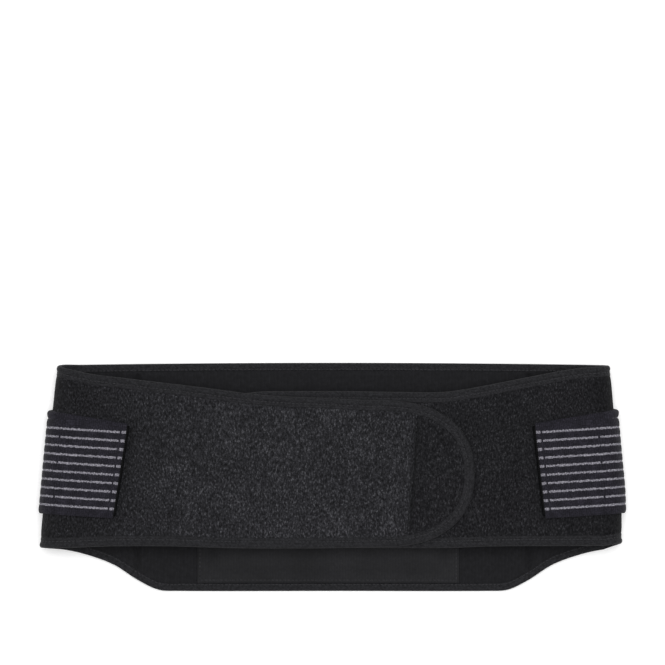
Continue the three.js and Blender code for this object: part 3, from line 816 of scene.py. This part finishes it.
# How deep a seam draws in the plush and the lining, how wide its groove is, and how high the ridge
# stands beside it, where the raw edges lie turned under. The back seam draws in the lining most.
seam_kinds = {
    "tab": {"plush": 2.5 * mm, "lining": 0.8 * mm, "width": 1.2 * mm, "ridge": 0.45 * mm},
    "back": {"plush": 1.0 * mm, "lining": 2.3 * mm, "width": 2.2 * mm, "ridge": 0.2 * mm},
}
ridge_away, ridge_width = 4 * mm, 1.6 * mm
seam_fade = 4 * mm  # from the tape's hem on, a groove deepens over this


def beside_seam(run, kind, face):
    seam = seam_kinds[kind]
    groove = seam[face] * np.exp(-((run / seam["width"]) ** 2))
    return groove - seam["ridge"] * np.exp(-(((run - ridge_away) / ridge_width) ** 2))


def seam_groove(lines, seams, face):
    """How deep each line lies in the groove of a seam at the start or the end of the panel."""
    run = run_along((lines["bottom"] + lines["top"]) / 2)
    ways = [(run, seams[0]), (run[-1] - run, seams[1])]
    return sum((beside_seam(away, kind, face) for away, kind in ways if kind), np.zeros(len(run)))[:, None]


def direction(angle):
    return np.array([math.cos(angle), math.sin(angle)])


strap_way = direction(strap_tilt - fold_slant)
webbing_turn = gap / 2 + webbing_thickness
hook_start = -webbing_turn - strap_hook_peek_and_shadow
hook_end = hook_start + strap_hook_length
furrow_depth, furrow_width = 2.4 * mm, 2.2 * mm
furrow_ahead = 0.9 * mm  # of the hooks
furrow_spread, furrow_fade = 4 * mm, 5 * mm  # past the webbing's edge


def strap_front(side):
    """The folded front end of a strap on its wing's pattern: its middle, and the way of its fold."""
    middle = on_pattern(belt_width / 2 - strap_reach[side], strap_end_up, "front")
    return middle, direction(strap_tilt - fold_slant + math.pi / 2 + strap_skew[side])


def strap_furrow(points, side):
    """The furrow that a strap's hooks pull into the plush along the strap's front end."""
    middle, across = strap_front(side)
    outward = np.array([across[1], -across[0]])
    past_end = (points - middle) @ outward - (hook_start - furrow_ahead)
    aside = np.abs((points - middle) @ across)
    beside = smoothstep((webbing_width / 2 + furrow_spread - aside) / furrow_fade)
    return furrow_depth * np.exp(-((past_end / furrow_width) ** 2)) * beside


def span_of(points):
    flat = points.reshape(-1, 2)
    return [float(length) for length in flat.max(axis=0) - flat.min(axis=0)]


def cloth_area(points):
    """Area of a grid of pattern points."""
    a = points[1:, :-1] - points[:-1, :-1]
    b = points[:-1, 1:] - points[:-1, :-1]
    return float(np.sum(np.abs(a[..., 0] * b[..., 1] - a[..., 1] * b[..., 0])))


def add_panel(name, node, lines, place, seams, material=loop_plush, furrow=None, map_start=0.0):
    """A panel between its two edges. seams names the seams at its start and its end, and furrow the
    strap that lies on it. A panel without a seam at its end is rounded there."""
    rounded = seams[1] is None
    points, distance = across_panel(lines, rounded, 44)
    outer_dip = seam_groove(lines, seams, "plush") * smoothstep((distance - binding_outside) / seam_fade)
    inner_dip = seam_groove(lines, seams, "lining") * smoothstep((distance - binding_inside) / seam_fade)
    outer = panel_thickness / 2 - pressed(distance, binding_outside) - outer_dip
    if furrow:
        outer = outer - strap_furrow(points, furrow)
    inner = -panel_thickness / 2 + pressed(distance, binding_inside) + inner_dip
    rings = both_faces(place(points, outer), place(points, inner))
    ring_count, ring_size = rings.shape[:2]
    faces = closed_loft(rings)
    walls = np.arange(len(faces)) < (ring_count - 1) * ring_size
    outside = walls & (np.arange(len(faces)) % ring_size < ring_size // 2 - 1)
    uv = both_faces(points, points) - (map_start, 0)
    piece = add_mesh(name, rings, faces, [material, lining_knit], np.where(outside, 0, 1), uv)
    pattern, _ = across_panel(lines, rounded, 4)
    span, area = span_of(pattern), cloth_area(pattern)
    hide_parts(node)
    print(node, "cut from", [round(length / mm) for length in span], "mm, area", round(area, 4), "m2")


# The back's map starts a back's width away, so the painted shade towards the folds stays off the back panel.
add_panel(
    "back_panel_cloth", "back_panel", back_outline, back_place, ("back", "back"), map_start=back_width
)
add_panel(
    "left_wing_cloth", "left_wing", left_wing_lines, over_place, ("back", "tab"), furrow="left"
)
add_panel(
    "closure_tab_cloth", "closure_tab", closure_tab_lines, over_place, ("tab", None), painted_shade_plush
)
add_panel(
    "right_wing_cloth", "right_wing", right_outline, under_place, ("back", None), painted_shade_plush,
    furrow="right",
)

# %% [markdown]
# The tape is folded over the raw edge and sewn down. Its outer fold is a smooth round ridge, the row
# of stitches lies in a groove beside the ridge, and the hem is flat beyond it. A flat strip could be
# bent round the edge by a modifier. A short table of its section, lofted along the edge, lays the
# groove and the hem exactly where they belong.

# %% Folding tape round the edges
# Columns: distance in from the edge and lift out from the middle of the cloth, in millimetres. The
# rows run from the tape's outer hem, over the fold at the edge, to its hem on the lining.
tape_section = [
    (8.0, 1.1), (7.9, 1.4), (7.3, 1.55), (6.4, 1.5), (5.6, 1.35), (5.0, 1.15), (4.5, 1.25), (3.9, 1.55),
    (3.2, 1.85), (2.3, 1.98), (1.4, 1.85), (0.6, 1.35), (0.1, 0.7), (0.0, 0.0), (0.1, -0.7), (0.5, -1.3),
    (1.2, -1.65), (2.2, -1.75), (3.4, -1.65), (4.6, -1.6), (5.4, -1.68), (5.9, -1.5), (6.0, -1.2),
    (3.0, -1.1), (1.0, -0.6), (1.0, 0.6), (4.0, 1.1),
]
end_pinch, pinched_end = 0.35, 0.9 * mm


def edge_path(lines, depth, names):
    """Pattern points along the edge, moved in by a depth. Two names go round the tip and back."""
    rounded = len(names) > 1
    moved = inset(lines, depth, rounded)
    path = moved[names[0]]
    return np.concatenate([path, moved[names[1]][-2::-1]]) if rounded else path


def add_binding(name, node, lines, place, *names):
    """The tape along an edge. Both its ends lie in a seam, which pinches them."""
    rings, paths = [], []
    for depth, lift in tape_section:
        path = edge_path(lines, depth * mm, names)
        run = run_along(path)
        pinch = 1 - end_pinch * np.exp(-np.minimum(run, run[-1] - run) / pinched_end)
        rings.append(place(path, lift * mm * pinch))
        paths.append(path)
    rings = np.stack(rings, axis=1)
    piece = add_mesh(name, rings, closed_loft(rings), [folding_tape], uv=np.stack(paths, axis=1))
    length = float(run_along(edge_path(lines, 0, names))[-1])
    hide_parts(node)
    print(node, "tape:", round(length, 2), "m")


add_binding("back_top_tape", "back_top_binding", back_outline, back_place, "top")
add_binding("back_lower_tape", "back_lower_binding", back_outline, back_place, "bottom")
add_binding("left_wing_tape", "left_wing_binding", left_outline, over_place, "top", "bottom")
add_binding("right_wing_tape", "right_wing_binding", right_outline, under_place, "top", "bottom")

# %% [markdown]
# A row of lockstitch is many short capsules of thread. A texture could draw them, but the real thread
# stands up and catches light, so they are solid. One small capsule is copied along a path on the
# cloth, as arrays, and every row of a piece is joined in one mesh.

# %% Rows of stitches
stitch_pitch = 3.0 * mm
stitch_length = 2.2 * mm
stitch_radius = 0.35 * mm
stitch_ring_places = np.array([-1.0, -0.7, 0.0, 0.7, 1.0])
stitch_ring_sizes = np.array([0.35, 0.85, 1.0, 0.85, 0.35])
stitch_sides = 6
stitch_depth = 5 * mm  # in from the edge
stitch_lifts = 1.3 * mm, -1.66 * mm  # on the outside and on the lining


def along_path(path):
    """The start and the end of each stitch along a pattern path."""
    lengths = run_along(path)
    count = max(int(lengths[-1] / stitch_pitch), 1)
    wanted = (np.arange(count) + 0.5) * lengths[-1] / count

    def at(distances):
        return np.stack([np.interp(distances, lengths, path[:, axis]) for axis in (0, 1)], axis=-1)

    return at(wanted - stitch_length / 2), at(wanted + stitch_length / 2)


def stitch_points(path, place, lift):
    """Vertices of the stitches along a path, at a lift out from the middle of the cloth."""
    start, end = along_path(path)
    level = np.full(len(start), lift)
    a, b = place(start, level), place(end, level)
    up = unit(place(start, level + 0.5 * mm) - place(start, level - 0.5 * mm))
    side = unit(np.cross(up, unit(b - a)))
    turn = (np.arange(stitch_sides) * 2 * math.pi / stitch_sides)[:, None]
    centre = (a + b)[:, None, None] / 2
    reach = (b - a)[:, None, None] / 2 * stitch_ring_places[:, None, None]
    ring = up[:, None, None] * np.cos(turn) + side[:, None, None] * np.sin(turn)
    return centre + reach + ring * stitch_radius * stitch_ring_sizes[:, None, None]


def add_stitches(name, rows):
    """One mesh of all the stitches in rows of (path, place, lift)."""
    points = np.concatenate([stitch_points(*row) for row in rows])
    stitch_size = len(stitch_ring_places) * stitch_sides
    tips = np.array([[0, 3, 2, 1], [0, 5, 4, 3]])
    tube = loft_faces(len(stitch_ring_places), stitch_sides)
    one = np.concatenate([tube, tips, (stitch_size - stitch_sides) + tips[:, ::-1]])
    faces = (np.arange(len(points))[:, None, None] * stitch_size + one[None]).reshape(-1, 4)
    add_mesh(name, points, faces, [thread])


def tape_rows(lines, place, *names):
    path = edge_path(lines, stitch_depth, names)
    return [(path, place, lift) for lift in stitch_lifts]


back_rows = [tape_rows(back_outline, back_place, name) for name in ("top", "bottom")]
add_stitches("back_stitches", back_rows[0] + back_rows[1])
add_stitches("left_wing_stitches", tape_rows(left_outline, over_place, "top", "bottom"))
add_stitches("right_wing_stitches", tape_rows(right_outline, under_place, "top", "bottom"))

# %% [markdown]
# The webbing is folded double: it leaves the back seam, goes round the side fold to its front end,
# turns there and goes back under itself a few degrees off its first way. Its section has a soft ridge
# for each rib, and the stripes lie in the grooves. Round the fold the ridges stand out as lobes. A
# bump could fake the ribs, but the lobes change the outline, so the ribs are shaped.

# %% Side straps
rib_relief = 0.3 * mm
fold_relief = 0.4 * mm  # more, round the fold, where the ribs bulge
edge_roll = 3.2 * mm
rolled_edge = 0.75 * mm
edge_flare = 8 * mm  # where the inner layer's free edge stands off round the fold
flared_edge = 2.2 * mm
hem_dip, hem_width = 0.35 * mm, 0.9 * mm
webbing_samples = 12 * rib_count + 1
widths = np.linspace(-webbing_width / 2, webbing_width / 2, webbing_samples)
fold_shares = np.linspace(0, 1, 25)
station_steps = [0, 0.6, 1.2, 1.7, 2.2, 2.6, 3, 3.5, 4.1, 5, 7, 10, 13, 17, 22, 26, 28, 30, 32, 34]
near_end = np.array(station_steps) * mm


def rib_profile(width):
    """The ridge of each rib across the webbing, from 0 in a groove to 1 on a rib."""
    phase = np.abs((width / rib_pitch) % 1)
    ridge = np.abs(np.cos(math.pi * phase)) ** 0.35
    outermost = np.abs(width) > rib_pitch * (rib_count / 2 - 0.5)
    edge = np.clip((webbing_width / 2 - np.abs(width)) / (1.2 * mm), 0, 1) ** 0.5
    return np.where(outermost, np.maximum(ridge, 0.92), ridge) * edge


def cross(a, b):
    return a[..., 0] * b[..., 1] - a[..., 1] * b[..., 0]


def layer_points(middle, turn, base, way_of_line):
    """Where each rib line of one layer crosses a line through base."""
    way = direction(strap_tilt + turn - fold_slant)
    aside = np.array([-way[1], way[0]])
    starts = middle + widths[:, None] * aside
    share = cross(base - starts, way_of_line) / cross(way, way_of_line)
    return starts + share[:, None] * way


def strap_stations(middle, across):
    """Lines across the strap from its front end to the back seam: a point and a way for each."""
    upright = np.array([0.0, 1.0])
    lines = [(middle + strap_way * distance, across) for distance in near_end]
    lines += [(np.array([half_turn * share, 0.0]), upright) for share in fold_shares]
    seam = on_pattern(seam_out + gap, np.array([0.0, 1.0]), "back")
    fold_end = np.array([half_turn, 0.0])
    for share in np.linspace(0, 1, 9)[1:]:
        base = fold_end + (seam[0] - fold_end) * share
        lines.append((base, upright + (seam[1] - seam[0] - upright) * share))
    return lines


def strap_base(distance):
    """How far the inner webbing is lifted off the wing: over its hook patch, then down to the wing."""
    low = panel_thickness / 2 + gap
    ramp = hook_end + 1 * mm
    return low + (hook_thickness + gap) * (1 - smoothstep((distance - ramp) / strap_ramp))


def add_strap(name, node, side, place):
    """The webbing comes from the seam as the outer layer, turns at its front end, and goes back as the
    inner layer."""
    front_middle, across = strap_front(side)
    lines = strap_stations(front_middle, across)
    distances = np.concatenate([near_end, np.full(len(lines) - len(near_end), 1.0)])[:, None]
    base = strap_base(distances)
    hem = hem_dip * np.exp(-(((distances - hem_length) / hem_width) ** 2))
    groove = 1 - rib_profile(widths)
    from_edge = webbing_width / 2 - np.abs(widths)
    rolled = rolled_edge * (1 - np.clip(from_edge / edge_roll, 0, 1)) ** 2
    swell = np.sin(math.pi * np.clip(from_edge / edge_flare, 0, 1) ** 0.6) ** 0.7

    def layer(turn, low):
        """Pattern points of a layer, the lifts of its upper and lower side, its bulge and its length."""
        points = np.stack([layer_points(front_middle, turn, *line) for line in lines])
        run = run_along(points[:, len(widths) // 2])[:, None]
        bulge = np.sin(np.clip(points[..., 0] / fold_radius, 0, math.pi))
        upper = low + webbing_thickness - (rib_relief + fold_relief * bulge) * groove - rolled
        return points, upper, low + rib_relief * groove, bulge, run

    outer, upper, lower, _, outer_run = layer(-strap_fan, base + webbing_thickness + gap)
    outer_rings = both_faces(place(outer, upper - hem), place(outer, lower + 0.3 * hem))

    turn = np.linspace(0, math.pi, 9)[1:-1, None]
    turn_level = base[0] + webbing_thickness + gap / 2
    thick = webbing_turn - rib_relief * groove
    around = outer[0] - (thick * np.sin(turn))[..., None] * strap_way
    within = outer[0] - (gap / 2 * np.sin(turn))[..., None] * strap_way
    turn_rings = both_faces(
        place(around, turn_level + (thick - rolled) * np.cos(turn)),
        place(within, turn_level + gap / 2 * np.cos(turn)),
    )

    inner, upper, lower, bulge, inner_run = layer(strap_fan, base)
    flare = flared_edge * bulge * np.where(widths > 0, swell, 0)
    inner_rings = both_faces(place(inner, lower + flare), place(inner, upper + flare))

    rings = np.concatenate([outer_rings[::-1], turn_rings, inner_rings])
    runs = np.concatenate([outer_run[::-1], -turn * webbing_turn, -webbing_turn * math.pi - inner_run])
    flat_map = np.stack(np.broadcast_arrays(runs, widths), axis=-1)
    piece = add_mesh(name, rings, closed_loft(rings), [elastic_webbing], uv=both_faces(flat_map, flat_map))
    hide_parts(node)


add_strap("left_side_strap", "left_strap", "left", over_place)
add_strap("right_side_strap", "right_strap", "right", under_place)

# %% [markdown]
# A hook patch is a flat band with rounded corners. The one under the tab follows the tab's outline,
# and the other two lie under the straps' front ends. The hooks themselves are left to the material,
# because only a line of them is ever seen.

# %% Hook patches
soft_edge = 0.35  # share of the band's thickness


def add_patch(name, node, points, place, low):
    """A band over a grid of pattern points, from a lift up, with softened edges."""
    rows, columns = points.shape[:2]
    i, j = np.meshgrid(np.arange(rows), np.arange(columns), indexing="ij")
    nearest = np.minimum(np.minimum(i, rows - 1 - i), np.minimum(j, columns - 1 - j))
    swell = np.where(nearest == 0, soft_edge * hook_thickness, 0.0)
    rings = both_faces(place(points, low + hook_thickness - swell), place(points, low + swell))
    piece = add_mesh(name, rings, closed_loft(rings), [hook_tape_and_shadow], uv=both_faces(points, points))
    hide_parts(node)


closure_edge = inset(closure_tab_lines, binding_inside + closure_hook_inset, True)
closure_rows = slice(6, -4)
closure_shares = np.linspace(0, 1, 25)[None, :, None]
low_edge, high_edge = (closure_edge[name][closure_rows][:, None] for name in ("bottom", "top"))
closure_points = low_edge + (high_edge - low_edge) * closure_shares
closure_low = -panel_thickness / 2 - gap - hook_thickness
add_patch("closure_hook_patch", "closure_hook", closure_points, over_place, closure_low)

strap_patch_half = webbing_width / 2 - strap_hook_inset
patch_rows = hook_start + np.linspace(0, 1, 25) * strap_hook_length
patch_columns = np.linspace(-strap_patch_half, strap_patch_half, 31)
patch_low = panel_thickness / 2 + gap
for side, place in (("left", over_place), ("right", under_place)):
    middle, across = strap_front(side)
    strap_patch = middle + patch_rows[:, None, None] * strap_way + patch_columns[None, :, None] * across
    add_patch(f"{side}_strap_hook_patch", f"{side}_strap_hook", strap_patch, place, patch_low)

# %% [markdown]
# The pocket is one sheet of stretch knit. It is sewn flat along both sides and its foot, and stands
# off the lining between them, so its mouth gapes. The stitches pull small puckers. Formulas raise it,
# where a cloth simulation could come to rest in the lining.

# %% Pocket on the lining
pocket_foot = -back_height / 2 + binding_inside + gap
pocket_across = np.linspace(0, pocket_width, 121)
pocket_up = np.linspace(0, pocket_height, 81)
u_grid, v_grid = np.meshgrid(pocket_across, pocket_up, indexing="ij")
pucker_height, pucker_reach = 0.25 * mm, 9 * mm
side_pucker_pitch, foot_pucker_pitch = 7 * mm, 8 * mm
pocket_drape = 0.5 * mm
hem_rise, hem_depth = 0.3 * mm, 10 * mm


def puckers(along, pitch, away):
    waves = np.sin(along * 2 * math.pi / pitch) ** 2
    return pucker_height * waves * np.exp(-((away / pucker_reach) ** 2))


def pocket_height_at(u, v):
    """How far the pocket stands off the lining, at a place across and up it."""
    from_side = np.minimum(u, pocket_width - u)
    bulge = np.prod([smoothstep((away - pocket_seam) / pocket_shoulder) for away in (from_side, v)], axis=0)
    drape = pocket_drape * np.sin(u / (17 * mm) + v / (29 * mm)) * bulge
    sewn = puckers(v, side_pucker_pitch, from_side) + puckers(u, foot_pucker_pitch, v)
    return pocket_depth * bulge + sewn - np.abs(drape)


def pocket_place(points, lift):
    u, v = points[..., 0], points[..., 1]
    lining = back_level(0.0) + panel_thickness / 2 + gap
    x = pocket_shift - pocket_width / 2 + u
    return np.stack([x, pocket_foot + v, lining + pocket_height_at(u, v) + lift], axis=-1)


pocket_points = np.stack([u_grid, v_grid], axis=-1)
hem = hem_rise * smoothstep((v_grid - (pocket_height - hem_depth)) / (1 * mm))
pocket_lift = pocket_cloth * 0.75
pocket_rings = both_faces(pocket_place(pocket_points, pocket_lift + hem), pocket_place(pocket_points, 0.0))
pocket_uv = both_faces(pocket_points, pocket_points)
pocket = add_mesh("gel_pack_pocket", pocket_rings, closed_loft(pocket_rings), [stretch_knit], uv=pocket_uv)
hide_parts("gel_pocket")

sewn_in = 2.2 * mm
row_top, hem_row = pocket_height - 1 * mm, pocket_height - 9 * mm
far_side = pocket_width - sewn_in
row_ends = [(sewn_in, row_top), (sewn_in, sewn_in), (far_side, sewn_in), (far_side, row_top)]
pocket_rows = list(zip(row_ends[:-1], row_ends[1:]))
pocket_rows.append(((3 * mm, hem_row), (pocket_width - 3 * mm, hem_row)))
add_stitches(
    "pocket_stitches",
    [(np.linspace(a, b, 60), pocket_place, pocket_lift + 0.1 * mm) for a, b in pocket_rows],
)

# %% Boxes of the solids and of the cloth
visual_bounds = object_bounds()
boxes = {
    "cad": [[float(v) for v in corner] for corner in cad_bounds],
    "visual": [[float(v) for v in corner] for corner in visual_bounds],
}
for name, corners in boxes.items():
    print(name, [[round(v / mm, 1) for v in corner] for corner in corners], "mm")
